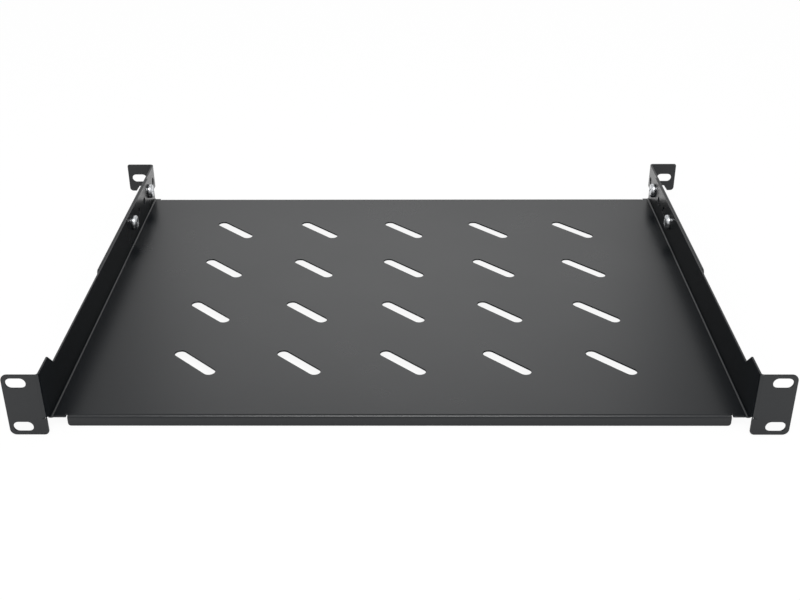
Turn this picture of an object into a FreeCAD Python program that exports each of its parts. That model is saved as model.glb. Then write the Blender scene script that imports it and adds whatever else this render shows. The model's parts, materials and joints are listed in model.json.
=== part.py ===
"""Vented four-post rack shelf, one rack unit high, for a 19 inch rack.

A tray is folded from one sheet: a floor with slanted vent slots, a lip bent down at its front and rear
edges, and two side walls whose front ends turn outwards into the mounting ears. An L-shaped bracket is
screwed to the outside of each wall. Its strip and the wall have holes at the same pitch, so that it can
be bolted on again further back, and its rear ear fastens to the rear posts.

Frame, in millimetres: the origin is the centre of the front mounting pattern, on the plane where the
ears meet the front posts. +X is to the right as the shelf is seen from the front, +Y goes back into the
rack, +Z is up. Both side pieces are made on the right and mirrored to the left.
"""

import FreeCAD
import Part

import math
import os

Vector = FreeCAD.Vector

# Rack standard: 19 inch panel, one rack unit
panel_width = 482.6
panel_height = 43.65
unit_height = 44.45
mount_spacing_x = 465.0
mount_spacing_z = 31.75
mount_slot_length = 12.5
mount_slot_width = 7.0

# Tray: one folded sheet
sheet = 1.2
bend_inner = 1.2
tray_width = 438.0
tray_rear_y = 346.4
floor_drop = 14.7
wall_height = 27.3

# Front ears
ear_corner_radius = 4.0
ear_foot_radius = 3.0
ear_foot_x = 217.1

# Front end of a side wall: full ear height, then a 45 degree step down. Below, a slanting cut from
# the front edge of the floor up to the ear parts the wall from the foot of the ear.
tall_wall_y = 20.2
relief_height = 4.7
relief_round = 1.5

# Rear end of a side wall: its upper corner is cut off at 45 degrees
rear_cut = 18.9

# Lips bent down at the front and rear edges of the floor
front_edge_y = 8.9
front_lip_width = 416.5
rear_lip_width = 424.0
lip_corner_radius = 2.0
lip_relief_width = 0.7
lip_relief_depth = 0.2

# Vent slots: rows of slots that all slant back to the left
vent_length = 40.5
vent_width = 8.0
vent_angle = 135.0
vent_pitch_x = 70.2
vent_pitch_y = 69.8
vent_columns = 5
vent_rows = 4
vent_middle_x = 2.2
vent_first_y = 72.6

# Holes shared by the walls and the brackets
hole_pitch = 21.5
hole_radius = 3.25
hole_z = 0.6
wall_hole_count = 4
wall_rear_hole_y = 328.3

# Rear brackets
bracket_sheet = 1.5
bracket_bend_inner = 1.5
bracket_front_y = 154.3
bracket_ear_y = 358.4
bracket_top_z = 12.6
bracket_bottom_z = -7.4
bracket_corner_radius = 3.0
bracket_hole_count = 9
rear_ear_x = 242.0
rear_ear_bottom_z = -12.0
rear_ear_foot_x = 236.4
rear_ear_notch_x = 233.2
rear_ear_top_radius = 1.5
rear_ear_bottom_radius = 3.0

# Fasteners: M6 pan head screws and thin hexagon nuts
screw_radius = 2.95
screw_length = 8.0
head_radius = 6.0
head_height = 3.6
head_rim_height = 1.7
head_crown_radius = 4.0
recess_depth = 2.2
recess_wing_width = 1.25
recess_mouth_span = 6.4
recess_floor_span = 3.0
nut_across_flats = 10.0
nut_height = 3.2
nut_bore_radius = 3.0

# Worked out from the sizes above
bend_outer = bend_inner + sheet
wall_outer_x = tray_width / 2
wall_inner_x = wall_outer_x - sheet
floor_z = -floor_drop
floor_bottom_z = floor_z - sheet
wall_top_z = floor_z + wall_height
ear_top_z = panel_height / 2
ear_bottom_z = -panel_height / 2
ear_x = panel_width / 2
relief_z = floor_z + relief_height
lip_bottom_z = -unit_height / 2
bracket_outer_x = wall_outer_x + bracket_sheet
bracket_rear_y = bracket_ear_y + bracket_sheet
overlap = 5.0


def rounded_face(corners):
    """A flat face from (corner, radius) pairs; a radius above 0 rounds that corner with an arc."""
    starts = []
    ends = []
    arcs = []
    count = len(corners)
    for index, (corner, radius) in enumerate(corners):
        to_previous = (corners[index - 1][0] - corner).normalize()
        to_next = (corners[(index + 1) % count][0] - corner).normalize()
        half_angle = to_previous.getAngle(to_next) / 2
        reach = radius / math.tan(half_angle)
        bisector = (to_previous + to_next).normalize()
        middle = corner + bisector * (radius / math.sin(half_angle) - radius)
        starts.append(corner + to_previous * reach)
        ends.append(corner + to_next * reach)
        arcs.append(Part.Arc(starts[-1], middle, ends[-1]) if radius else None)
    edges = []
    for index in range(count):
        if arcs[index]:
            edges.append(arcs[index].toShape())
        edges.append(Part.LineSegment(ends[index], starts[(index + 1) % count]).toShape())
    return Part.Face(Part.Wire(edges))


def plan(points, z_from, z_to):
    """A solid of constant outline along Z; points are (x, y, corner radius)."""
    face = rounded_face([(Vector(x, y, z_from), radius) for x, y, radius in points])
    return face.extrude(Vector(0, 0, z_to - z_from))


def front_view(points, y_from, y_to):
    """A solid of constant outline along Y; points are (x, z, corner radius)."""
    face = rounded_face([(Vector(x, y_from, z), radius) for x, z, radius in points])
    return face.extrude(Vector(0, y_to - y_from, 0))


def side_view(points, x_from, x_to):
    """A solid of constant outline along X; points are (y, z, corner radius)."""
    face = rounded_face([(Vector(x_from, y, z), radius) for y, z, radius in points])
    return face.extrude(Vector(x_to - x_from, 0, 0))


def box(x_from, x_to, y_from, y_to, z_from, z_to):
    """A box between two corners."""
    size = Vector(x_to - x_from, y_to - y_from, z_to - z_from)
    return Part.makeBox(size.x, size.y, size.z, Vector(x_from, y_from, z_from))


def slot(length, width, depth):
    """A round-ended slot cutter along X, centred on the origin, depth deep each way along Z."""
    straight = (length - width) / 2
    radius = width / 2
    edges = [
        Part.LineSegment(Vector(-straight, radius, 0), Vector(straight, radius, 0)),
        Part.Arc(Vector(straight, radius, 0), Vector(straight + radius, 0, 0),
                 Vector(straight, -radius, 0)),
        Part.LineSegment(Vector(straight, -radius, 0), Vector(-straight, -radius, 0)),
        Part.Arc(Vector(-straight, -radius, 0), Vector(-straight - radius, 0, 0),
                 Vector(-straight, radius, 0)),
    ]
    face = Part.Face(Part.Wire([edge.toShape() for edge in edges]))
    face.translate(Vector(0, 0, -depth))
    return face.extrude(Vector(0, 0, 2 * depth))


def mount_slot(z, plate_y):
    """The cutter for a right-hand mounting slot through a plate that lies across Y."""
    cutter = slot(mount_slot_length, mount_slot_width, overlap)
    cutter.rotate(Vector(0, 0, 0), Vector(1, 0, 0), 90)
    cutter.translate(Vector(mount_spacing_x / 2, plate_y, z))
    return cutter


def hole_row(rear_y, count):
    """Cutters for a row of round holes through the right wall or bracket, from rear_y forwards."""
    start_x = wall_inner_x - overlap
    return [
        Part.makeCylinder(hole_radius, 2 * overlap + sheet + bracket_sheet,
                          Vector(start_x, rear_y - index * hole_pitch, hole_z), Vector(1, 0, 0))
        for index in range(count)
    ]


def on_the_left(shape):
    """The mirror image of a right-hand shape."""
    return shape.mirror(Vector(0, 0, 0), Vector(1, 0, 0))


def channel():
    """The floor and both walls: a U section with the two long bends."""
    section = [
        (wall_outer_x, ear_top_z, 0),
        (wall_outer_x, floor_bottom_z, bend_outer),
        (-wall_outer_x, floor_bottom_z, bend_outer),
        (-wall_outer_x, ear_top_z, 0),
        (-wall_inner_x, ear_top_z, 0),
        (-wall_inner_x, floor_z, bend_inner),
        (wall_inner_x, floor_z, bend_inner),
        (wall_inner_x, ear_top_z, 0),
    ]
    return front_view(section, bend_inner, tray_rear_y)


def trimmed_channel():
    """The channel cut to its side outline: tall front end, step, wall top, rear cut and relief."""
    step = ear_top_z - wall_top_z
    outline = [
        (0, ear_top_z, 0),
        (tall_wall_y, ear_top_z, 0),
        (tall_wall_y + step, wall_top_z, 0),
        (tray_rear_y - rear_cut, wall_top_z, 0),
        (tray_rear_y, wall_top_z - rear_cut, 0),
        (tray_rear_y, floor_bottom_z, 0),
        (front_edge_y, floor_bottom_z, 0),
        (bend_inner, relief_z, relief_round),
        (0, relief_z, 0),
    ]
    return channel().common(side_view(outline, -ear_x, ear_x))


def front_ear():
    """The right front ear, with the bend that joins it to the wall above the relief."""
    bent = plan([
        (ear_x, -sheet, 0),
        (ear_x, 0, 0),
        (wall_outer_x, 0, bend_inner),
        (wall_outer_x, overlap, 0),
        (wall_inner_x, overlap, 0),
        (wall_inner_x, -sheet, bend_outer),
    ], relief_z, ear_top_z)
    foot = box(ear_foot_x, ear_x, -sheet, 0, ear_bottom_z, relief_z)
    outline = front_view([
        (ear_x, ear_top_z, ear_corner_radius),
        (wall_inner_x, ear_top_z, 0),
        (wall_inner_x, relief_z, 0),
        (ear_foot_x, relief_z, 0),
        (ear_foot_x, ear_bottom_z, ear_foot_radius),
        (ear_x, ear_bottom_z, ear_corner_radius),
    ], -sheet, overlap)
    ear = bent.fuse(foot).common(outline)
    slots = [mount_slot(side * mount_spacing_z / 2, 0) for side in (-1, 1)]
    return ear.cut(slots)


def lip(face_y, inwards, width):
    """A lip bent down from the floor; inwards is 1 where the floor lies behind it, -1 in front."""
    section = [
        (face_y, floor_z, bend_outer),
        (face_y, lip_bottom_z, 0),
        (face_y + inwards * sheet, lip_bottom_z, 0),
        (face_y + inwards * sheet, floor_bottom_z, bend_inner),
        (face_y + inwards * (bend_outer + overlap), floor_bottom_z, 0),
        (face_y + inwards * (bend_outer + overlap), floor_z, 0),
    ]
    bent = side_view(section, -width / 2, width / 2)
    outline = [
        (-width / 2, floor_z, 0),
        (width / 2, floor_z, 0),
        (width / 2, lip_bottom_z, lip_corner_radius),
        (-width / 2, lip_bottom_z, lip_corner_radius),
    ]
    ends = sorted([face_y, face_y + inwards * (bend_outer + overlap)])
    return bent.common(front_view(outline, *ends))


def lip_opening(face_y, inwards, width):
    """The strip of floor that gives way to a lip, with the bend relief at its two ends."""
    ends = sorted([face_y - inwards * overlap, face_y + inwards * (bend_outer + lip_relief_depth)])
    half = width / 2 + lip_relief_width
    return box(-half, half, *ends, floor_bottom_z, floor_z)


def vent_slots():
    """Cutters for the slanted slots in the floor, row by row."""
    cutters = []
    for row in range(vent_rows):
        for column in range(vent_columns):
            cutter = slot(vent_length, vent_width, overlap)
            cutter.rotate(Vector(0, 0, 0), Vector(0, 0, 1), vent_angle)
            x = vent_middle_x + (column - (vent_columns - 1) / 2) * vent_pitch_x
            cutter.translate(Vector(x, vent_first_y + row * vent_pitch_y, floor_z))
            cutters.append(cutter)
    return cutters


def tray():
    """The whole folded sheet."""
    lips = [(front_edge_y, 1, front_lip_width), (tray_rear_y, -1, rear_lip_width)]
    body = trimmed_channel().cut([lip_opening(*values) for values in lips])
    ear = front_ear()
    body = body.fuse([ear, on_the_left(ear)] + [lip(*values) for values in lips])
    wall_holes = hole_row(wall_rear_hole_y, wall_hole_count)
    body = body.cut(vent_slots() + wall_holes + [on_the_left(hole) for hole in wall_holes])
    return body.removeSplitter()


def rear_bracket():
    """The right rear bracket: a strip with a row of holes and an ear turned outwards."""
    bent = plan([
        (wall_outer_x, bracket_front_y, 0),
        (wall_outer_x, bracket_rear_y, bracket_bend_inner + bracket_sheet),
        (rear_ear_x, bracket_rear_y, 0),
        (rear_ear_x, bracket_ear_y, 0),
        (bracket_outer_x, bracket_ear_y, bracket_bend_inner),
        (bracket_outer_x, bracket_front_y, 0),
    ], rear_ear_bottom_z, bracket_top_z)
    across = front_view([
        (wall_outer_x, bracket_top_z, 0),
        (rear_ear_x, bracket_top_z, rear_ear_top_radius),
        (rear_ear_x, rear_ear_bottom_z, rear_ear_bottom_radius),
        (rear_ear_foot_x, rear_ear_bottom_z, 0),
        (rear_ear_notch_x, bracket_bottom_z, 0),
        (wall_outer_x, bracket_bottom_z, 0),
    ], bracket_front_y, bracket_rear_y)
    along = side_view([
        (bracket_front_y, bracket_top_z, bracket_corner_radius),
        (bracket_rear_y, bracket_top_z, 0),
        (bracket_rear_y, rear_ear_bottom_z, 0),
        (bracket_ear_y, rear_ear_bottom_z, 0),
        (bracket_ear_y, bracket_bottom_z, 0),
        (bracket_front_y, bracket_bottom_z, bracket_corner_radius),
    ], wall_outer_x, rear_ear_x)
    holes = hole_row(wall_rear_hole_y + hole_pitch, bracket_hole_count)
    blank = bent.common(across).common(along)
    return blank.cut(holes + [mount_slot(0, bracket_ear_y)]).removeSplitter()


def screw():
    """A pan head screw along +Z, with its head below the plane where it bears and a cross recess."""
    head_end = -head_height
    outline = [
        Vector(0, 0, head_end),
        Vector(head_crown_radius, 0, head_end),
        Vector(head_radius, 0, -head_rim_height),
        Vector(head_radius, 0, 0),
        Vector(screw_radius, 0, 0),
        Vector(screw_radius, 0, screw_length),
        Vector(0, 0, screw_length),
        Vector(0, 0, head_end),
    ]
    body = Part.Face(Part.makePolygon(outline)).revolve(Vector(0, 0, 0), Vector(0, 0, 1), 360)
    recess_end = head_end + recess_depth
    wings = front_view([
        (-recess_mouth_span / 2, head_end, 0),
        (recess_mouth_span / 2, head_end, 0),
        (recess_floor_span / 2, recess_end, 0),
        (-recess_floor_span / 2, recess_end, 0),
    ], -recess_wing_width / 2, recess_wing_width / 2)
    crossing_wings = wings.copy()
    crossing_wings.rotate(Vector(0, 0, 0), Vector(0, 0, 1), 90)
    return body.cut([wings, crossing_wings])


def nut():
    """A thin hexagon nut along +Z, standing on the plane where it bears."""
    corner = nut_across_flats / math.sqrt(3)
    angles = [math.radians(60 * index) for index in range(6)]
    hexagon = plan([(corner * math.cos(a), corner * math.sin(a), 0) for a in angles], 0, nut_height)
    return hexagon.cut(Part.makeCylinder(nut_bore_radius, nut_height))


def placed(fastener, x, y):
    """A fastener turned from +Z to +X and moved to a hole of the right-hand wall."""
    shape = fastener.copy()
    shape.rotate(Vector(0, 0, 0), Vector(0, 1, 0), 90)
    shape.translate(Vector(x, y, hole_z))
    return shape


def subparts():
    """Every piece of the shelf by its name."""
    pieces = {"tray": tray()}
    right_pieces = {"rear_bracket": rear_bracket()}
    screw_shape = screw()
    nut_shape = nut()
    front_hole_y = wall_rear_hole_y - (wall_hole_count - 1) * hole_pitch
    for place, y in (("front", front_hole_y), ("rear", wall_rear_hole_y)):
        right_pieces["screw_" + place] = placed(screw_shape, wall_inner_x, y)
        right_pieces["nut_" + place] = placed(nut_shape, bracket_outer_x, y)
    for name, shape in right_pieces.items():
        pieces[name + "_right"] = shape
        pieces[name + "_left"] = on_the_left(shape)
    return pieces


os.makedirs("parts", exist_ok=True)
for name, shape in subparts().items():
    solid = shape.Solids[0]
    solid.exportStep("parts/" + name + ".step")
    print(name, "solids", len(shape.Solids), "valid", solid.isValid(), "cm3", round(solid.Volume / 1000, 3))
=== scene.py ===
"""The looks of a vented four-post rack shelf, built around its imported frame.

The tray and the two rear brackets are cut as flat blanks with rounded edges and then folded, as the
real ones are. Screws and nuts are turned about their own axes. All lengths are in metres, and the
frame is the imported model's: +X to the right of the front, +Y back into the rack, +Z up.
"""

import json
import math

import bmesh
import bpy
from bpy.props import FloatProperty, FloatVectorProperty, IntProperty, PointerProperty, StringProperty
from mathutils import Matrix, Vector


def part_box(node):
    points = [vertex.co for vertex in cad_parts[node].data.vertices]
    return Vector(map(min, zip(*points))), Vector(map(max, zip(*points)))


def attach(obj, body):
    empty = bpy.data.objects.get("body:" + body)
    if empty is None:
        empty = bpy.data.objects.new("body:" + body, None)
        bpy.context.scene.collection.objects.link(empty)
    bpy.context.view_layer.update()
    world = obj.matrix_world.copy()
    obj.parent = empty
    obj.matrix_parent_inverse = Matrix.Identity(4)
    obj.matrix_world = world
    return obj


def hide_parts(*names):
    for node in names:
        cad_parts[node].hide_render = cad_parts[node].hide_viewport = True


bl_info = {
    "name": "Vented Rack Shelf",
    "version": (1, 0, 0),
    "blender": (4, 5, 0),
    "location": "View3D > Sidebar > Rack Shelf",
    "description": "Builds a folded rack shelf, its brackets and fasteners around their packed frame",
    "category": "Object",
}

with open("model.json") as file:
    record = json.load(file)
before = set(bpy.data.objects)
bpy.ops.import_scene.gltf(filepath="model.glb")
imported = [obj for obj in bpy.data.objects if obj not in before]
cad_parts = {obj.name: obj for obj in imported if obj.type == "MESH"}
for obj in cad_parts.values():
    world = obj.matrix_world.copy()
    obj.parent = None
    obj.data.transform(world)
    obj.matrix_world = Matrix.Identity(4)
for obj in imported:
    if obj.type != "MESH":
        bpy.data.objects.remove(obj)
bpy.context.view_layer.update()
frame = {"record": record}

MM = 0.001
RIGHT_ANGLE = math.pi / 2
SIDES = {"left": -1, "right": 1}
MOUNTS = {mount["name"]: mount["dims"] for mount in frame["record"]["mounts"]}
TRAY_LOW, TRAY_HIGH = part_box("tray")
BRACKET_LOW, BRACKET_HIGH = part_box("rear_bracket_right")
SCREW_LOW, SCREW_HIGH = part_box("screw_rear_right")
NUT_LOW, NUT_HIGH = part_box("nut_rear_right")


def length(label, description, millimetres):
    """A property that holds a length."""
    return FloatProperty(name=label, description=description, default=millimetres * MM,
                         precision=5, unit="LENGTH")


def position(label, description, point):
    """A property that holds a position."""
    return FloatVectorProperty(name=label, description=description, default=point,
                               subtype="TRANSLATION", unit="LENGTH", precision=5)


def colour(label, description, code):
    """A property that holds a colour as an sRGB hex code."""
    return StringProperty(name=label, description=description, default=code)


class TraySizes(bpy.types.PropertyGroup):
    """Sizes of the folded tray."""

    sheet: length("Sheet", "Thickness of the tray's sheet", 1.2)
    bend: length("Bend", "Inner radius of the tray's bends", 1.2)
    edge: length("Edge", "Rounding that the coating gives a cut edge", 0.22)
    width: length("Width", "Width over the two side walls", 438.0)
    drop: length("Drop", "Depth of the floor below the middle of the ears", 14.7)
    wall: length("Wall", "Height of the side walls above the floor", 27.3)
    ear_corner: length("Ear corner", "Radius of the ears' outer corners", 4.0)
    ear_foot_corner: length("Ear foot corner", "Radius of the ears' lower inner corner", 3.0)
    ear_foot_x: length("Ear foot", "Inner edge of the ear's foot, from the middle", 217.1)
    tall_wall: length("Tall wall", "Where the walls begin to step down behind the ears", 20.2)
    relief: length("Relief", "Height above the floor of the cut between wall and ear foot", 4.7)
    relief_corner: length("Relief corner", "Radius inside that cut", 1.5)
    nick: length("Nick", "Width of the nick where each ear's bend starts above its foot", 0.1)
    rear_cut: length("Rear cut", "Size of the 45 degree cut at the walls' upper rear corners", 18.9)
    front_edge_y: length("Front edge", "Place of the floor's front edge and of the lip's face", 8.9)
    front_lip_width: length("Front lip width", "Width of the front lip", 416.5)
    rear_lip_width: length("Rear lip width", "Width of the rear lip", 424.0)
    lip_corner: length("Lip corner", "Radius of the lips' lower corners", 2.0)
    slit: length("Slit", "Width of the slits at the ends of the lips", 0.7)
    slit_depth: length("Slit depth", "How far the slits pass the lips' bends", 0.2)
    corner: length("Corner", "Radius left on every other cut corner", 0.3)


class OpeningSizes(bpy.types.PropertyGroup):
    """Sizes of the vent slots and of the holes that walls and brackets share."""

    vent_length: length("Vent length", "Length of a vent slot", 40.5)
    vent_width: length("Vent width", "Width of a vent slot", 8.0)
    vent_angle: FloatProperty(name="Vent angle", description="Direction of the vent slots",
                              default=math.radians(135), subtype="ANGLE")
    vent_pitch_x: length("Vent pitch across", "Distance between vent slots across", 70.2)
    vent_pitch_y: length("Vent pitch along", "Distance between rows of vent slots", 69.8)
    vent_columns: IntProperty(name="Vent columns", description="Vent slots in a row", default=5)
    vent_rows: IntProperty(name="Vent rows", description="Rows of vent slots", default=4)
    vent_middle_x: length("Vent middle", "Middle of the rows, from the middle of the shelf", 2.2)
    vent_first_y: length("First vent row", "Place of the front row", 72.6)
    hole_pitch: length("Hole pitch", "Distance between holes", 21.5)
    hole_radius: length("Hole radius", "Radius of a hole", 3.25)
    wall_holes: IntProperty(name="Wall holes", description="Holes in each wall", default=4)
    bracket_holes: IntProperty(name="Bracket holes", description="Holes in each bracket", default=9)


class BracketSizes(bpy.types.PropertyGroup):
    """Sizes of the rear brackets."""

    sheet: length("Sheet", "Thickness of the brackets' sheet", 1.5)
    bend: length("Bend", "Inner radius of the brackets' bend", 1.5)
    edge: length("Edge", "Rounding that the coating gives a cut edge", 0.25)
    strip_bottom: length("Strip bottom", "Height of the strip's lower edge", -7.4)
    strip_corner: length("Strip corner", "Radius of the strip's front corners", 3.0)
    foot_x: length("Foot", "Where the ear's slanted edge meets its lower edge", 236.4)
    notch_x: length("Notch", "Where the ear's slanted edge meets the strip's lower edge", 233.2)
    top_corner: length("Top corner", "Radius of the ear's upper corner", 1.5)
    bottom_corner: length("Bottom corner", "Radius of the ear's lower corner", 3.0)
    corner: length("Corner", "Radius left on every other cut corner", 0.3)


class FastenerSizes(bpy.types.PropertyGroup):
    """Sizes of the M6 pan head screws and thin nuts."""

    thread_radius: length("Thread radius", "Outer radius of the thread", 2.95)
    thread_pitch: length("Thread pitch", "Pitch of the thread", 1.0)
    thread_depth: length("Thread depth", "Depth of the thread", 0.55)
    edge: length("Edge", "Rounding of the edges", 0.25)
    rim: length("Rim", "Height of the straight rim of a screw's head", 1.2)
    head: length("Head", "Height of a screw's head", 3.6)
    recess_depth: length("Recess depth", "Depth of the cross recess", 2.2)
    recess_wing: length("Recess wing", "Width of the cross recess's wings", 1.25)
    recess_mouth: length("Recess mouth", "Width over the cross recess at its mouth", 6.4)
    recess_floor: length("Recess floor", "Width over the cross recess at its floor", 2.6)
    nut_flats: length("Nut flats", "Width over the flats of a nut", 10.0)
    nut_face: length("Nut face", "Radius of the flat ring on a nut's faces", 4.7)
    chamfer: length("Chamfer", "Chamfer on the ends of the threads", 0.5)


class Finishes(bpy.types.PropertyGroup):
    """Colours of the coating, the plating and the stage."""

    coat: colour("Coat", "Pigment of the black powder coat", "#090D11")
    zinc: colour("Zinc", "Bright zinc plating", "#E6E8EA")
    zinc_dull: colour("Dull zinc", "Duller patches in the plating", "#C6C9CD")
    paper: colour("Paper", "Floor that the shelf stands on", "#FFFFFF")


class StageSettings(bpy.types.PropertyGroup):
    """Camera and surroundings."""

    camera_place: position("Camera place", "Where the camera stands", (0.00558, -0.58508, 0.39331))
    camera_turn: FloatVectorProperty(name="Camera turn", description="How the camera is turned",
                                     default=(1.069793, 0.003596, 0.005731), subtype="EULER")
    focal_length: FloatProperty(name="Focal length", description="Focal length of the lens, in mm",
                                default=51.58)
    floor_size: length("Floor size", "Width of the floor", 8000.0)
    floor_gap: length("Floor gap", "How far the floor stays clear of the shelf's lowest edges", 0.05)
    shadow_share: FloatProperty(name="Shadow share", description="How much of its shadow the floor shows",
                                default=0.07, subtype="FACTOR")
    room: FloatProperty(name="Room", description="How bright the room is to all but the camera",
                        default=0.75)
    rear_room: FloatProperty(name="Rear of the room", description="The same, of the room's rear",
                             default=0.52)
    rear_lamp_place: position("Rear lamp place", "Where the softbox behind the shelf hangs",
                              (0, 1.3, 0.7))
    rear_lamp_width: length("Rear lamp width", "Width of the rear softbox", 950.0)
    rear_lamp_height: length("Rear lamp height", "Height of the rear softbox", 560.0)
    rear_lamp_glow: FloatProperty(name="Rear lamp glow", default=1.18,
                                  description="Brightness of the rear softbox, where 1 is white")
    rear_lamp_spread: FloatProperty(name="Rear lamp spread", default=math.radians(60), subtype="ANGLE",
                                    description="Angle that the grid on the rear softbox lets through")
    front_lamp_place: position("Front lamp place", "Where the softbox over the camera hangs",
                               (0, -0.9, 1.9))
    front_lamp_width: length("Front lamp width", "Width of the front softbox", 1000.0)
    front_lamp_height: length("Front lamp height", "Height of the front softbox", 700.0)
    front_lamp_glow: FloatProperty(name="Front lamp glow", default=10.0,
                                   description="Brightness of the front softbox, where 1 is white")
    twice_reflected: FloatProperty(
        name="Twice reflected", subtype="FACTOR", default=0.03,
        description="Share of the room left after two reflections, as polarised light loses it")


# Objects

def new_object(name, data):
    """An object that holds the data, in the scene."""
    thing = bpy.data.objects.new(name, data)
    bpy.context.scene.collection.objects.link(thing)
    return thing


def new_piece(solid, name, material):
    """A smoothly shaded piece made from a solid, which is used up."""
    mesh = bpy.data.meshes.new(name)
    solid.to_mesh(mesh)
    solid.free()
    mesh.shade_smooth()
    mesh.materials.append(material)
    return new_object(name, mesh)


# Materials. Widths and heights of their patterns are in millimetres.

PEEL_WIDTH = 2.2
PEEL_HEIGHT = 0.012
COAT_GRAIN_WIDTH = 0.5
COAT_GRAIN_SHARE = 0.25  # of the peel's height
COAT_CLOUD_WIDTH = 60.0
COAT_ROUGHNESS = (0.26, 0.30)
ZINC_CLOUD_WIDTH = 2.5
ZINC_GRAIN_WIDTH = 0.3
ZINC_GRAIN_HEIGHT = 0.004
ZINC_ROUGHNESS = (0.26, 0.40)


def linear(code):
    """A linear RGBA colour from an sRGB hex code."""
    parts = [int(code[index:index + 2], 16) / 255 for index in (1, 3, 5)]
    levels = [part / 12.92 if part <= 0.04045 else ((part + 0.055) / 1.055) ** 2.4 for part in parts]
    return (*levels, 1.0)


def add_node(tree, kind, settings=None, **links):
    """Adds a node. Settings are its own values, and links its inputs, by name or as _ and a number; an
    input is given a socket or a value."""
    node = tree.nodes.new(kind)
    for name, value in (settings or {}).items():
        setattr(node, name, value)
    for name, value in links.items():
        socket = node.inputs[int(name[1:])] if name[1:].isdigit() else node.inputs[name.replace("_", " ")]
        if isinstance(value, bpy.types.NodeSocket):
            tree.links.new(value, socket)
        else:
            socket.default_value = value
    return node


def new_material(name):
    """An empty node material, and its tree."""
    material = bpy.data.materials.new(name)
    material.use_nodes = True
    material.node_tree.nodes.clear()
    return material, material.node_tree


def per_metre(millimetres):
    """The noise scale whose features are that many millimetres across."""
    return 1 / (millimetres * MM)


def powder_coat(finishes):
    """Satin black polyester powder, sprayed and baked: a smooth dielectric skin over a nearly black
    pigment. It is darkest face on and mirrors its surroundings softly at a slant, and its orange peel
    breaks that mirror up a little."""
    material, tree = new_material("satin_black_powder_coat")
    place = add_node(tree, "ShaderNodeTexCoord").outputs["Object"]
    peel = add_node(tree, "ShaderNodeTexNoise", Vector=place, Scale=per_metre(PEEL_WIDTH), Detail=1.0)
    grain = add_node(tree, "ShaderNodeTexNoise", Vector=place, Scale=per_metre(COAT_GRAIN_WIDTH),
                     Detail=2.0)
    cloud = add_node(tree, "ShaderNodeTexNoise", Vector=place, Scale=per_metre(COAT_CLOUD_WIDTH),
                     Detail=3.0)
    roughness = add_node(tree, "ShaderNodeMapRange", Value=cloud.outputs["Fac"],
                         To_Min=COAT_ROUGHNESS[0], To_Max=COAT_ROUGHNESS[1])
    heights = add_node(tree, "ShaderNodeMath", {"operation": "MULTIPLY_ADD"},
                       _0=grain.outputs["Fac"], _1=COAT_GRAIN_SHARE, _2=peel.outputs["Fac"])
    bump = add_node(tree, "ShaderNodeBump", Strength=1.0, Distance=PEEL_HEIGHT * MM,
                    Height=heights.outputs["Value"])
    shader = add_node(tree, "ShaderNodeBsdfPrincipled", Base_Color=linear(finishes.coat), IOR=1.5,
                      Roughness=roughness.outputs["Result"], Normal=bump.outputs["Normal"])
    add_node(tree, "ShaderNodeOutputMaterial", Surface=shader.outputs["BSDF"])
    return material


def bright_zinc(finishes):
    """Zinc electroplate with a clear passivation on steel: a bright, slightly blue metal, a little
    cloudy, that mirrors what is around it as soft streaks."""
    material, tree = new_material("bright_zinc_plate")
    place = add_node(tree, "ShaderNodeTexCoord").outputs["Object"]
    cloud = add_node(tree, "ShaderNodeTexNoise", Vector=place, Scale=per_metre(ZINC_CLOUD_WIDTH),
                     Detail=4.0)
    grain = add_node(tree, "ShaderNodeTexNoise", Vector=place, Scale=per_metre(ZINC_GRAIN_WIDTH),
                     Detail=2.0)
    tint = add_node(tree, "ShaderNodeMix", {"data_type": "RGBA"}, Factor=cloud.outputs["Fac"],
                    _6=linear(finishes.zinc), _7=linear(finishes.zinc_dull))
    roughness = add_node(tree, "ShaderNodeMapRange", Value=cloud.outputs["Fac"],
                         To_Min=ZINC_ROUGHNESS[0], To_Max=ZINC_ROUGHNESS[1])
    bump = add_node(tree, "ShaderNodeBump", Strength=1.0, Distance=ZINC_GRAIN_HEIGHT * MM,
                    Height=grain.outputs["Fac"])
    shader = add_node(tree, "ShaderNodeBsdfPrincipled", Base_Color=tint.outputs[2], Metallic=1.0,
                      Roughness=roughness.outputs["Result"], Normal=bump.outputs["Normal"])
    add_node(tree, "ShaderNodeOutputMaterial", Surface=shader.outputs["BSDF"])
    return material


def coat(scene):
    """The powder coat, made once."""
    return bpy.data.materials.get("satin_black_powder_coat") or powder_coat(scene.shelf_finishes)


def plating(scene):
    """The zinc plating, made once."""
    return bpy.data.materials.get("bright_zinc_plate") or bright_zinc(scene.shelf_finishes)


# The stage

FIRST_REFLECTION = 1.5  # a ray whose depth is above this has been reflected more than once
DIMMING = (0.2, 0.7)  # the backward part of a direction where the room starts and stops getting dimmer
NO_GRID = math.pi  # the spread of a bare softbox


def lit_floor(stage, finishes):
    """Matt white paper. It is mostly self-lit where it is seen, so that it stays white, and the rest
    is lit by the surroundings, so that it keeps a faint shadow."""
    material, tree = new_material("matt_white_paper")
    path = add_node(tree, "ShaderNodeLightPath").outputs
    share = add_node(tree, "ShaderNodeMath", {"operation": "MULTIPLY"},
                     _0=path["Is Camera Ray"], _1=1 - stage.shadow_share)
    matt = add_node(tree, "ShaderNodeBsdfDiffuse", Color=linear(finishes.paper))
    glow = add_node(tree, "ShaderNodeEmission", Color=linear(finishes.paper), Strength=1.0)
    mixed = add_node(tree, "ShaderNodeMixShader", Fac=share.outputs["Value"],
                     _1=matt.outputs["BSDF"], _2=glow.outputs["Emission"])
    add_node(tree, "ShaderNodeOutputMaterial", Surface=mixed.outputs["Shader"])
    return material


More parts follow.
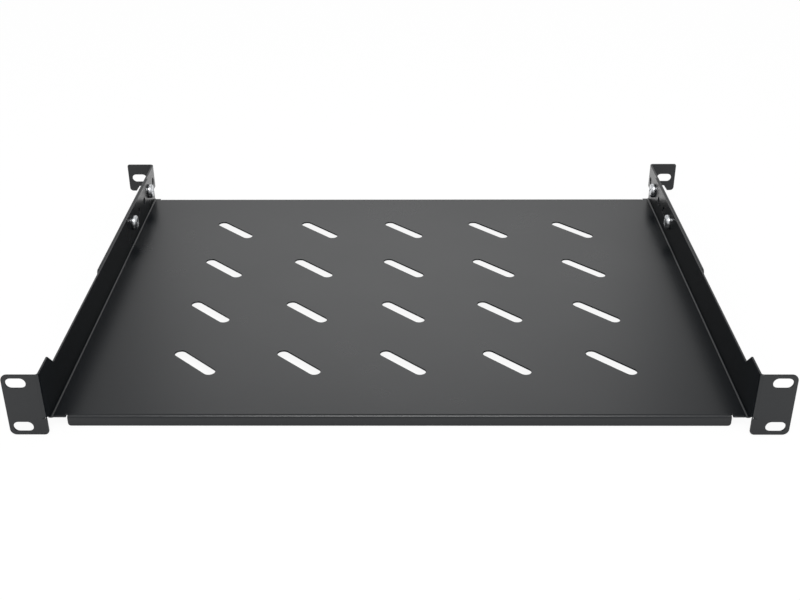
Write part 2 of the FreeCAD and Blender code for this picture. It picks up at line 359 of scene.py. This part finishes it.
def surroundings(stage):
    """A plain white room, dimmer behind the shelf. Light that has already bounced off one coated face is
    polarised, so a second face at right angles returns little of it: the room is dimmer to a ray on its
    second reflection."""
    world = bpy.data.worlds.new("white_room")
    world.use_nodes = True
    world.cycles.sampling_method = "NONE"  # only a ray that reaches the room itself knows its depth
    tree = world.node_tree
    tree.nodes.clear()
    path = add_node(tree, "ShaderNodeLightPath").outputs
    twice = add_node(tree, "ShaderNodeMath", {"operation": "GREATER_THAN"}, _0=path["Glossy Depth"],
                     _1=FIRST_REFLECTION)
    share = add_node(tree, "ShaderNodeMapRange", Value=twice.outputs["Value"], To_Min=1.0,
                     To_Max=stage.twice_reflected)
    direction = add_node(tree, "ShaderNodeTexCoord").outputs["Generated"]
    backwards = add_node(tree, "ShaderNodeSeparateXYZ", Vector=direction).outputs["Y"]
    room = add_node(tree, "ShaderNodeMapRange", Value=backwards, From_Min=DIMMING[0],
                    From_Max=DIMMING[1], To_Min=stage.room, To_Max=stage.rear_room)
    lit = add_node(tree, "ShaderNodeMath", {"operation": "MULTIPLY"}, _0=room.outputs["Result"],
                   _1=share.outputs["Result"])
    strength = add_node(tree, "ShaderNodeMath", {"operation": "MAXIMUM"}, _0=lit.outputs["Value"],
                        _1=path["Is Camera Ray"])
    background = add_node(tree, "ShaderNodeBackground", Color=(1, 1, 1, 1),
                          Strength=strength.outputs["Value"])
    add_node(tree, "ShaderNodeOutputWorld", Surface=background.outputs["Background"])
    return world


def softbox(name, place, width, height, glow, spread):
    """A rectangular soft lamp that faces the middle of the shelf. A grid across it narrows its light to
    the spread, which makes it brighter straight on by the gain, and its glow is the one seen there."""
    half_spread = spread / 2
    gain = math.tan(half_spread) / (math.tan(half_spread) - half_spread)
    lamp = bpy.data.lights.new(name, "AREA")
    lamp.shape = "RECTANGLE"
    lamp.size = width
    lamp.size_y = height
    lamp.energy = math.pi * width * height * glow / gain  # a glow of 1 takes pi watts per square metre
    lamp.spread = spread
    holder = new_object(name, lamp)
    holder.location = place
    towards = (TRAY_LOW + TRAY_HIGH) / 2 - Vector(place)
    holder.rotation_euler = towards.to_track_quat("-Z", "Y").to_euler()


# Folded sheet

ARC_STEP = math.radians(12)  # the widest angle between two points of an arc
EDGE_STEPS = 3  # faces across the rounding of one edge
BEND_STEPS = 8  # faces along a bend
FILL_SCALE = 1000  # a fill needs points that lie over 0.03 apart
SAME_POINT = 1e-7  # points closer than this are one


def rounded_outline(corners):
    """A closed outline from (x, y, radius) corners; a radius above 0 rounds that corner with an arc."""
    points = []
    count = len(corners)
    for index, (x, y, radius) in enumerate(corners):
        corner = Vector((x, y))
        if not radius:
            points.append(corner)
            continue
        before = (Vector(corners[index - 1][:2]) - corner).normalized()
        after = (Vector(corners[(index + 1) % count][:2]) - corner).normalized()
        half = before.angle(after) / 2
        centre = corner + (before + after).normalized() * radius / math.sin(half)
        start = corner + before * radius / math.tan(half) - centre
        turn = (math.pi - 2 * half) * math.copysign(1, after.cross(before))
        steps = math.ceil(abs(turn) / ARC_STEP)
        arc = [centre + Matrix.Rotation(turn * step / steps, 2) @ start for step in range(steps + 1)]
        points += arc[1:] if points and (arc[0] - points[-1]).length < SAME_POINT else arc
    return points[1:] if (points[0] - points[-1]).length < SAME_POINT else points


def slot_outline(x, y, long, wide, angle):
    """A round-ended slot around (x, y), lying at that angle."""
    turned = Matrix.Rotation(angle, 2)
    corners = []
    for along, across in ((-1, -1), (1, -1), (1, 1), (-1, 1)):
        corner = turned @ Vector((along * long / 2, across * wide / 2))
        corners.append((x + corner.x, y + corner.y, wide / 2))
    return rounded_outline(corners)


def mount_slot(x, y, mount):
    """The slot of a mount, which lies along Y in a flat blank."""
    return slot_outline(x, y, mount["slot_length_mm"] * MM, 2 * mount["hole_r_mm"] * MM, RIGHT_ANGLE)


def round_outline(x, y, radius):
    """A round hole."""
    count = round(math.tau / ARC_STEP)
    angles = [math.tau * index / count for index in range(count)]
    return [Vector((x + radius * math.cos(angle), y + radius * math.sin(angle))) for angle in angles]


def area_within(points):
    """The signed area of an outline: above 0 if it runs counterclockwise."""
    return sum(point.cross(after) for point, after in zip(points, points[1:] + points[:1])) / 2


def rounded_plate(outline, holes, sheet, edge):
    """A flat plate about z = 0 with holes and rounded edges. A layer keeps each vertex's true normal."""
    plate = bmesh.new()
    normals = plate.verts.layers.float_vector.new("true_normal")
    levels = []
    for step in range(EDGE_STEPS + 1):
        angle = RIGHT_ANGLE * (1 - step / EDGE_STEPS)
        levels.append((edge * (1 - math.cos(angle)), sheet / 2 - edge * (1 - math.sin(angle)), angle))
    levels += [(inset, -height, -angle) for inset, height, angle in reversed(levels)]
    rims = {"top": [], "bottom": []}
    loops = [outline if area_within(outline) > 0 else outline[::-1]]
    loops += [hole if area_within(hole) < 0 else hole[::-1] for hole in holes]
    for points in loops:
        rings = [[] for level in levels]
        count = len(points)
        for index, point in enumerate(points):
            before = (point - points[index - 1]).normalized()
            after = (points[(index + 1) % count] - point).normalized()
            outwards = Vector(((before + after).y, -(before + after).x)).normalized()
            mitre = outwards / outwards.dot(Vector((after.y, -after.x)))
            for ring, (inset, height, angle) in zip(rings, levels):
                place = point - mitre * inset
                vert = plate.verts.new((place.x, place.y, height))
                vert[normals] = (*(outwards * math.cos(angle)), math.sin(angle))
                ring.append(vert)
        for upper, lower in zip(rings, rings[1:]):
            for index in range(count):
                plate.faces.new((upper[index - 1], lower[index - 1], lower[index], upper[index]))
        for rim, ring in (("top", rings[0]), ("bottom", rings[-1])):
            rims[rim] += [plate.edges.get((ring[index - 1], ring[index])) for index in range(count)]
    bmesh.ops.scale(plate, vec=(FILL_SCALE,) * 3, verts=plate.verts)
    bmesh.ops.triangle_fill(plate, edges=rims["top"], use_beauty=True, normal=(0, 0, 1))
    bmesh.ops.triangle_fill(plate, edges=rims["bottom"], use_beauty=True, normal=(0, 0, -1))
    bmesh.ops.scale(plate, vec=(1 / FILL_SCALE,) * 3, verts=plate.verts)
    bmesh.ops.recalc_face_normals(plate, faces=plate.faces)
    return plate


def bend_length(sheet, radius):
    """Flat length of a right-angle bend, along the middle of the sheet."""
    return RIGHT_ANGLE * (radius + sheet / 2)


def crease(plate, start, towards, long):
    """Cuts a plate across, so that it can bend from start over that length."""
    for step in range(BEND_STEPS + 1):
        geometry = plate.verts[:] + plate.edges[:] + plate.faces[:]
        bmesh.ops.bisect_plane(plate, geom=geometry, dist=SAME_POINT, plane_no=towards,
                               plane_co=start + towards * long * step / BEND_STEPS)


def fold(plate, verts, start, towards, turn_to, sheet, radius, stiff=()):
    """Bends verts by a right angle about a line through start. Past the line they lay along towards,
    and they end along turn_to. Stiff ones are turned whole, and skip the curve."""
    normals = plate.verts.layers.float_vector["true_normal"]
    middle = radius + sheet / 2
    across = towards.cross(turn_to)
    stiff = set(stiff)
    for vert in verts:
        offset = vert.co - start
        past = offset.dot(towards)
        angle = RIGHT_ANGLE if vert in stiff else min(max(past / middle, 0), RIGHT_ANGLE)
        turn = Matrix.Rotation(angle, 3, across)
        level = turn_to * (offset.dot(turn_to) - middle)
        straight = towards * (past - angle * middle)
        vert.co = start + across * offset.dot(across) + turn_to * middle + turn @ (level + straight)
        vert[normals] = turn @ vert[normals]


def finished(plate, name, material, placing):
    """A piece made from a folded plate, moved by the placing and shaded with the true normals."""
    normals = plate.verts.layers.float_vector["true_normal"]
    plate.transform(placing)
    if placing.is_negative:
        bmesh.ops.reverse_faces(plate, faces=plate.faces)
    directions = [(placing.to_3x3() @ vert[normals]).normalized() for vert in plate.verts]
    plate.verts.layers.float_vector.remove(normals)
    piece = new_piece(plate, name, material)
    piece.data.normals_split_custom_set_from_vertices(directions)
    return piece


def mirrored(corners):
    """A symmetric outline's corners from those of its right half, which run from front to rear."""
    return corners + [(-x, y, radius) for x, y, radius in reversed(corners)]


# The tray

def tray_places(size):
    """Where the parts of the tray's blank lie before it is folded, worked out from the folded sizes."""
    floor_z = -size.drop
    bend = bend_length(size.sheet, size.bend)
    outer_bend = size.bend + size.sheet
    wall_outer_x = size.width / 2
    fold_x = wall_outer_x - outer_bend
    fold_end_z = floor_z + size.bend
    ear_fold_end_x = wall_outer_x + size.bend
    return {
        "floor_z": floor_z,
        "bend": bend,
        "fold_x": fold_x,
        "ear_fold_y": size.bend,
        "front_fold_y": size.front_edge_y + outer_bend,
        "rear_fold_y": TRAY_HIGH.y - outer_bend,
        "lip": bend + floor_z - outer_bend - TRAY_LOW.z,
        "wall_x": lambda z: fold_x + bend + z - fold_end_z,
        "ear_y": lambda x: size.bend - bend - x + ear_fold_end_x,
    }


def tray_outline(size, place):
    """The blank's outline."""
    wall_x = place["wall_x"]
    ear_y = place["ear_y"]
    wall_top_z = place["floor_z"] + size.wall
    relief_z = place["floor_z"] + size.relief
    slant = (size.front_edge_y - size.bend) / (size.relief + size.sheet)
    fold_end_y = size.front_edge_y - slant * (size.bend + size.sheet)
    ear_bottom_z = -TRAY_HIGH.z
    step = TRAY_HIGH.z - wall_top_z
    front_slit_y = place["front_fold_y"] + size.slit_depth
    rear_slit_y = place["rear_fold_y"] - size.slit_depth
    front_x = size.front_lip_width / 2
    rear_x = size.rear_lip_width / 2
    shoulder_x = wall_x(relief_z) - size.nick
    shoulder_y = place["ear_fold_y"] - place["bend"]
    foot_y = ear_y(size.ear_foot_x)
    return mirrored([
        (front_x, place["front_fold_y"] - place["lip"], size.lip_corner),
        (front_x, front_slit_y, size.corner),
        (front_x + size.slit, front_slit_y, size.corner),
        (front_x + size.slit, size.front_edge_y, size.corner),
        (place["fold_x"], size.front_edge_y, size.corner),
        (wall_x(place["floor_z"] + size.bend), fold_end_y, size.corner),
        (wall_x(relief_z), size.bend, size.relief_corner),
        (wall_x(relief_z), shoulder_y, 0),
        (shoulder_x, shoulder_y, 0),
        (shoulder_x, foot_y, size.corner),
        (wall_x(ear_bottom_z), foot_y, size.ear_foot_corner),
        (wall_x(ear_bottom_z), ear_y(TRAY_HIGH.x), size.ear_corner),
        (wall_x(TRAY_HIGH.z), ear_y(TRAY_HIGH.x), size.ear_corner),
        (wall_x(TRAY_HIGH.z), size.tall_wall, size.corner),
        (wall_x(wall_top_z), size.tall_wall + step, size.corner),
        (wall_x(wall_top_z), TRAY_HIGH.y - size.rear_cut, size.corner),
        (wall_x(wall_top_z - size.rear_cut), TRAY_HIGH.y, size.corner),
        (rear_x + size.slit, TRAY_HIGH.y, size.corner),
        (rear_x + size.slit, rear_slit_y, size.corner),
        (rear_x, rear_slit_y, size.corner),
        (rear_x, place["rear_fold_y"] + place["lip"], size.lip_corner),
    ])


def tray_holes(openings, place):
    """The vent slots of the floor, the holes of the walls and the slots of the ears."""
    holes = []
    for row in range(openings.vent_rows):
        for column in range(openings.vent_columns):
            x = openings.vent_middle_x + (column - (openings.vent_columns - 1) / 2) * openings.vent_pitch_x
            y = openings.vent_first_y + row * openings.vent_pitch_y
            holes.append(slot_outline(x, y, openings.vent_length, openings.vent_width, openings.vent_angle))
    screw_x = place["wall_x"]((SCREW_LOW.z + SCREW_HIGH.z) / 2)
    rear_hole_y = (SCREW_LOW.y + SCREW_HIGH.y) / 2
    mount = MOUNTS["front_ears"]
    ear_y = place["ear_y"](mount["spacing_x_mm"] / 2 * MM)
    for side in SIDES.values():
        for index in range(openings.wall_holes):
            holes.append(round_outline(side * screw_x, rear_hole_y - index * openings.hole_pitch,
                                       openings.hole_radius))
        for end in (-1, 1):
            x = side * place["wall_x"](end * mount["spacing_y_mm"] / 2 * MM)
            holes.append(mount_slot(x, ear_y, mount))
    return holes


def folded_tray(size, openings):
    """The tray's blank, folded: ears first, then the lips, then the walls with the ears on them."""
    place = tray_places(size)
    sheet = {"sheet": size.sheet, "radius": size.bend}
    plate = rounded_plate(rounded_outline(tray_outline(size, place)), tray_holes(openings, place),
                          size.sheet, size.edge)
    front = Vector((0, -1, 0))
    rear = Vector((0, 1, 0))
    up = Vector((0, 0, 1))
    ear_start = Vector((0, place["ear_fold_y"], 0))
    front_start = Vector((0, place["front_fold_y"], 0))
    rear_start = Vector((0, place["rear_fold_y"], 0))
    crease(plate, ear_start, front, place["bend"])
    crease(plate, front_start, front, place["bend"])
    crease(plate, rear_start, rear, place["bend"])
    for side in SIDES.values():
        crease(plate, Vector((side * place["fold_x"], 0, 0)), Vector((side, 0, 0)), place["bend"])
    foot_limit = place["wall_x"](place["floor_z"] + size.relief) - size.nick / 2
    foot_edge_y = place["ear_y"](size.ear_foot_x) + SAME_POINT
    feet = {vert for vert in plate.verts if abs(vert.co.x) < foot_limit and vert.co.y < foot_edge_y}
    ears = feet | {vert for vert in plate.verts if vert.co.y < place["ear_fold_y"]}
    lips = []
    for start, towards, width in ((front_start, front, size.front_lip_width),
                                  (rear_start, rear, size.rear_lip_width)):
        lip = [vert for vert in plate.verts if abs(vert.co.x) < (width + size.slit) / 2
               and (vert.co - start).dot(towards) > 0 and vert not in ears]
        lips.append((lip, start, towards))
    walls = {side: [vert for vert in plate.verts if side * vert.co.x > place["fold_x"]
                    or (vert in ears and side * vert.co.x > 0)] for side in SIDES.values()}
    fold(plate, ears, ear_start, front, -up, stiff=feet, **sheet)
    for lip, start, towards in lips:
        fold(plate, lip, start, towards, -up, **sheet)
    for side, wall in walls.items():
        start = Vector((side * place["fold_x"], 0, 0))
        fold(plate, wall, start, Vector((side, 0, 0)), up, stiff=feet, **sheet)
    bmesh.ops.translate(plate, verts=plate.verts, vec=(0, 0, place["floor_z"] - size.sheet / 2))
    return plate


# The rear brackets

def folded_bracket(size, openings):
    """The right bracket's blank, folded. Its height lies along X and its length along Y."""
    bend = bend_length(size.sheet, size.bend)
    fold_y = BRACKET_HIGH.y - size.sheet - size.bend
    fold_end_x = BRACKET_LOW.x + size.sheet + size.bend

    def ear_y(x):
        return fold_y + bend + x - fold_end_x

    outline = rounded_outline([
        (BRACKET_HIGH.z, BRACKET_LOW.y, size.strip_corner),
        (size.strip_bottom, BRACKET_LOW.y, size.strip_corner),
        (size.strip_bottom, ear_y(size.notch_x), size.corner),
        (BRACKET_LOW.z, ear_y(size.foot_x), size.corner),
        (BRACKET_LOW.z, ear_y(BRACKET_HIGH.x), size.bottom_corner),
        (BRACKET_HIGH.z, ear_y(BRACKET_HIGH.x), size.top_corner),
    ])
    mount = MOUNTS["rear_ears"]
    hole_x = (SCREW_LOW.z + SCREW_HIGH.z) / 2
    rear_hole_y = (SCREW_LOW.y + SCREW_HIGH.y) / 2 + openings.hole_pitch
    holes = [round_outline(hole_x, rear_hole_y - index * openings.hole_pitch, openings.hole_radius)
             for index in range(openings.bracket_holes)]
    holes.append(mount_slot(0, ear_y(mount["spacing_x_mm"] / 2 * MM), mount))
    plate = rounded_plate(outline, holes, size.sheet, size.edge)
    start = Vector((0, fold_y, 0))
    rear = Vector((0, 1, 0))
    crease(plate, start, rear, bend)
    ear = [vert for vert in plate.verts if vert.co.y > fold_y]
    fold(plate, ear, start, rear, Vector((0, 0, -1)), size.sheet, size.bend)
    return plate


# Fasteners

CURVE_STEPS = 8  # faces over the crown of a head, from its middle to its rim
TURN_STEPS = 48  # faces around
THREAD_STEPS = 10  # faces along one pitch of a thread
SHARP = math.radians(32)  # edges that turn by more than this are crisp
THREAD_SLOPE = 1.25  # above 1, so that the bottom of the thread is flat
CROWN_BULGE = 0.75  # below 1, so that the crown is fuller than an ellipse
NUT_SLANT = math.radians(30)  # of the chamfers on a nut's corners
SIXTH = math.tau / 6
CUTTER_RISE = 0.1  # how far a recess's cutter starts above the head, as a share of the recess's depth
CUTTER_TOP_LENGTH = 1.1  # its length there, as a share of the recess's mouth
CUTTER_TOP_WIDTH = 1.08  # its width there, as a share of the wings' width
CUTTER_FLOOR_WIDTH = 0.8  # its width at the recess's floor, as a share of the same
# How far each screw was turned when it came tight, in radians
SPINS = {"screw_front_left": 0.5, "screw_front_right": 1.1, "screw_rear_left": 0.2, "screw_rear_right": 0.8}


def revolved(section, closed):
    """A solid of revolution about Z. section(angle) gives (radius, height) points, always as many, and a
    closed section runs back from the last to the first."""
    solid = bmesh.new()
    columns = []
    for index in range(TURN_STEPS):
        angle = math.tau * index / TURN_STEPS
        columns.append([solid.verts.new((radius * math.cos(angle), radius * math.sin(angle), height))
                        for radius, height in section(angle)])
    for index, column in enumerate(columns):
        next_column = columns[(index + 1) % TURN_STEPS]
        for step in range(0 if closed else 1, len(column)):
            solid.faces.new((column[step - 1], next_column[step - 1], next_column[step], column[step]))
    bmesh.ops.remove_doubles(solid, verts=solid.verts, dist=SAME_POINT)
    bmesh.ops.recalc_face_normals(solid, faces=solid.faces)
    return solid


def thread_depth(size, angle, height):
    """How deep a right-hand thread is cut at that angle and height: nothing at its crest."""
    turn = (height / size.thread_pitch - angle / math.tau) % 1
    return size.thread_depth * min(1, THREAD_SLOPE * abs(2 * turn - 1))


def thread_rows(size, angle, start, end, sign):
    """The (radius, height) points of a thread. The sign is 1 for one on a shank, chamfered at its tip,
    and -1 for one in a bore, chamfered at both ends."""
    rows = []
    steps = round((end - start) / size.thread_pitch * THREAD_STEPS)
    crest = size.thread_radius - (0 if sign > 0 else size.thread_depth)
    for step in range(steps + 1):
        height = start + (end - start) * step / steps
        from_end = end - height if sign > 0 else min(end - height, height - start)
        chamfer = max(0, size.chamfer - from_end)
        depth = thread_depth(size, angle, height)
        radius = crest - max(depth, chamfer) if sign > 0 else max(crest + depth, crest + chamfer)
        rows.append((radius, height))
    return rows


def screw_section(size, head_radius, tip):
    """The section of a pan head screw with its bearing face at z = 0 and its thread towards +Z."""
    rise = size.head - size.rim
    crown = []
    for step in range(CURVE_STEPS + 1):
        angle = RIGHT_ANGLE * step / CURVE_STEPS
        crown.append((head_radius * math.sin(angle) ** CROWN_BULGE,
                      -size.rim - rise * math.cos(angle) ** CROWN_BULGE))
    under = [(head_radius, -size.edge), (head_radius - size.edge, 0)]

    def section(angle):
        return crown + under + thread_rows(size, angle, 0, tip, sign=1) + [(0, tip)]

    return section


def nut_section(size, height):
    """The section of a thin hexagon nut with chamfered faces, from z = 0 to its height."""
    def section(angle):
        from_flat = (angle + SIXTH / 2) % SIXTH - SIXTH / 2
        side = size.nut_flats / 2 / math.cos(from_flat)
        lowered = max(0, side - size.nut_face) * math.tan(NUT_SLANT)
        outside = [(size.nut_face, height), (side, height - lowered), (side, lowered), (size.nut_face, 0)]
        return thread_rows(size, angle, 0, height, sign=-1) + outside

    return section


def solid_piece(solid, name, material):
    """A piece made from a solid, with smooth curves and crisp edges."""
    piece = new_piece(solid, name, material)
    piece.data.set_sharp_from_angle(angle=SHARP)
    return piece


def tapered_bar(mouth, floor, depth, width, top):
    """A bar along X that cuts one pair of the recess's wings, narrower at its floor."""
    bar = bmesh.new()
    rows = [(mouth * CUTTER_TOP_LENGTH, width * CUTTER_TOP_WIDTH, top - depth * CUTTER_RISE),
            (floor, width * CUTTER_FLOOR_WIDTH, top + depth)]
    corners = ((-1, -1), (1, -1), (1, 1), (-1, 1))
    rings = [[bar.verts.new((x * long / 2, y * wide / 2, z)) for x, y in corners] for long, wide, z in rows]
    for index in range(len(corners)):
        bar.faces.new((rings[0][index - 1], rings[0][index], rings[1][index], rings[1][index - 1]))
    bar.faces.new(rings[0])
    bar.faces.new(rings[1])
    bmesh.ops.recalc_face_normals(bar, faces=bar.faces)
    return bar


def cut_away(piece, cutter):
    """Cuts a solid out of a piece."""
    tool = solid_piece(cutter, "cutter", piece.data.materials[0])
    modifier = piece.modifiers.new("cut", "BOOLEAN")
    modifier.operation = "DIFFERENCE"
    modifier.solver = "EXACT"
    modifier.object = tool
    graph = bpy.context.evaluated_depsgraph_get()
    mesh = bpy.data.meshes.new_from_object(piece.evaluated_get(graph))
    piece.modifiers.clear()
    piece.data = mesh
    bpy.data.objects.remove(tool)


def placed(piece, node, side, bearing_x, spin):
    """Turns a fastener from +Z outwards, puts it at its node's place and lets it stand for that node."""
    low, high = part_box(node)
    centre = (low + high) / 2
    outwards = Matrix.Rotation(side * RIGHT_ANGLE, 4, "Y")
    place = Matrix.Translation((side * bearing_x, centre.y, centre.z))
    piece.data.transform(place @ outwards @ Matrix.Rotation(spin, 4, "Z"))
    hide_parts(node)
    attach(piece, "root")


# Operators

class SHELF_OT_tray(bpy.types.Operator):
    """Folds the tray from its blank and coats it."""

    bl_idname = "shelf.tray"
    bl_label = "Tray"

    def execute(self, context):
        scene = context.scene
        plate = folded_tray(scene.shelf_tray, scene.shelf_openings)
        piece = finished(plate, "folded_tray", coat(scene), Matrix())
        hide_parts("tray")
        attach(piece, "root")
        return {"FINISHED"}


class SHELF_OT_brackets(bpy.types.Operator):
    """Folds both rear brackets from their blanks and coats them."""

    bl_idname = "shelf.brackets"
    bl_label = "Rear Brackets"

    def execute(self, context):
        scene = context.scene
        size = scene.shelf_bracket
        middle_x = BRACKET_LOW.x + size.sheet / 2
        upright = Matrix.Translation((middle_x, 0, 0)) @ Matrix.Rotation(-RIGHT_ANGLE, 4, "Y")
        for name, side in SIDES.items():
            plate = folded_bracket(size, scene.shelf_openings)
            placing = Matrix.Diagonal((side, 1, 1, 1)) @ upright
            piece = finished(plate, "folded_bracket_" + name, coat(scene), placing)
            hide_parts("rear_bracket_" + name)
            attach(piece, "root")
        return {"FINISHED"}


class SHELF_OT_screws(bpy.types.Operator):
    """Makes the pan head screws, with cross recesses and threads."""

    bl_idname = "shelf.screws"
    bl_label = "Screws"

    def execute(self, context):
        size = context.scene.shelf_fasteners
        head_radius = (SCREW_HIGH.y - SCREW_LOW.y) / 2
        bearing_x = SCREW_LOW.x + size.head
        section = screw_section(size, head_radius, SCREW_HIGH.x - bearing_x)
        for end in ("front", "rear"):
            for name, side in SIDES.items():
                node = "screw_" + end + "_" + name
                piece = solid_piece(revolved(section, closed=False), "pan_head_" + node,
                                    plating(context.scene))
                for quarter in (0, 1):
                    bar = tapered_bar(size.recess_mouth, size.recess_floor, size.recess_depth,
                                      size.recess_wing, -size.head)
                    bar.transform(Matrix.Rotation(quarter * RIGHT_ANGLE, 4, "Z"))
                    cut_away(piece, bar)
                placed(piece, node, side, bearing_x, SPINS[node])
        return {"FINISHED"}


class SHELF_OT_nuts(bpy.types.Operator):
    """Makes the hexagon nuts, chamfered and threaded."""

    bl_idname = "shelf.nuts"
    bl_label = "Nuts"

    def execute(self, context):
        size = context.scene.shelf_fasteners
        section = nut_section(size, NUT_HIGH.x - NUT_LOW.x)
        for end in ("front", "rear"):
            for name, side in SIDES.items():
                node = "nut_" + end + "_" + name
                piece = solid_piece(revolved(section, closed=True), "hexagon_" + node,
                                    plating(context.scene))
                placed(piece, node, side, NUT_LOW.x, spin=0)
        return {"FINISHED"}


class SHELF_OT_stage(bpy.types.Operator):
    """Lays the white floor, lights the room and sets the camera up."""

    bl_idname = "shelf.stage"
    bl_label = "Stage"

    def execute(self, context):
        scene = context.scene
        stage = scene.shelf_stage
        half = stage.floor_size / 2
        level = TRAY_LOW.z - stage.floor_gap
        corners = [(-half, -half, level), (half, -half, level), (half, half, level), (-half, half, level)]
        mesh = bpy.data.meshes.new("floor")
        mesh.from_pydata(corners, [], [(0, 1, 2, 3)])
        mesh.materials.append(lit_floor(stage, scene.shelf_finishes))
        floor = new_object("floor", mesh)
        scene.world = surroundings(stage)
        softbox("rear_softbox", stage.rear_lamp_place, stage.rear_lamp_width, stage.rear_lamp_height,
                stage.rear_lamp_glow, stage.rear_lamp_spread)
        softbox("front_softbox", stage.front_lamp_place, stage.front_lamp_width, stage.front_lamp_height,
                stage.front_lamp_glow, NO_GRID)
        lens = bpy.data.cameras.new("camera")
        lens.lens = stage.focal_length
        camera = new_object("camera", lens)
        camera.location = stage.camera_place
        camera.rotation_euler = stage.camera_turn
        scene.camera = camera
        scene.view_settings.view_transform = "Standard"
        return {"FINISHED"}


OPERATORS = (SHELF_OT_tray, SHELF_OT_brackets, SHELF_OT_screws, SHELF_OT_nuts, SHELF_OT_stage)


class SHELF_PT_panel(bpy.types.Panel):
    """Lists the steps that build the shelf."""

    bl_idname = "SHELF_PT_panel"
    bl_label = "Rack Shelf"
    bl_space_type = "VIEW_3D"
    bl_region_type = "UI"
    bl_category = "Rack Shelf"

    def draw(self, context):
        for operator in OPERATORS:
            self.layout.operator(operator.bl_idname)


GROUPS = {
    "shelf_tray": TraySizes,
    "shelf_openings": OpeningSizes,
    "shelf_bracket": BracketSizes,
    "shelf_fasteners": FastenerSizes,
    "shelf_finishes": Finishes,
    "shelf_stage": StageSettings,
}


def register():
    """Registers the properties, the operators and the panel."""
    for name, group in GROUPS.items():
        bpy.utils.register_class(group)
        setattr(bpy.types.Scene, name, PointerProperty(type=group))
    for item in (*OPERATORS, SHELF_PT_panel):
        bpy.utils.register_class(item)


def unregister():
    """Removes what register added."""
    for item in (SHELF_PT_panel, *reversed(OPERATORS)):
        bpy.utils.unregister_class(item)
    for name, group in reversed(GROUPS.items()):
        delattr(bpy.types.Scene, name)
        bpy.utils.unregister_class(group)


def main():
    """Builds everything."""
    register()
    bpy.ops.shelf.tray()
    bpy.ops.shelf.brackets()
    bpy.ops.shelf.screws()
    bpy.ops.shelf.nuts()
    bpy.ops.shelf.stage()


if __name__ == "__main__":
    main()
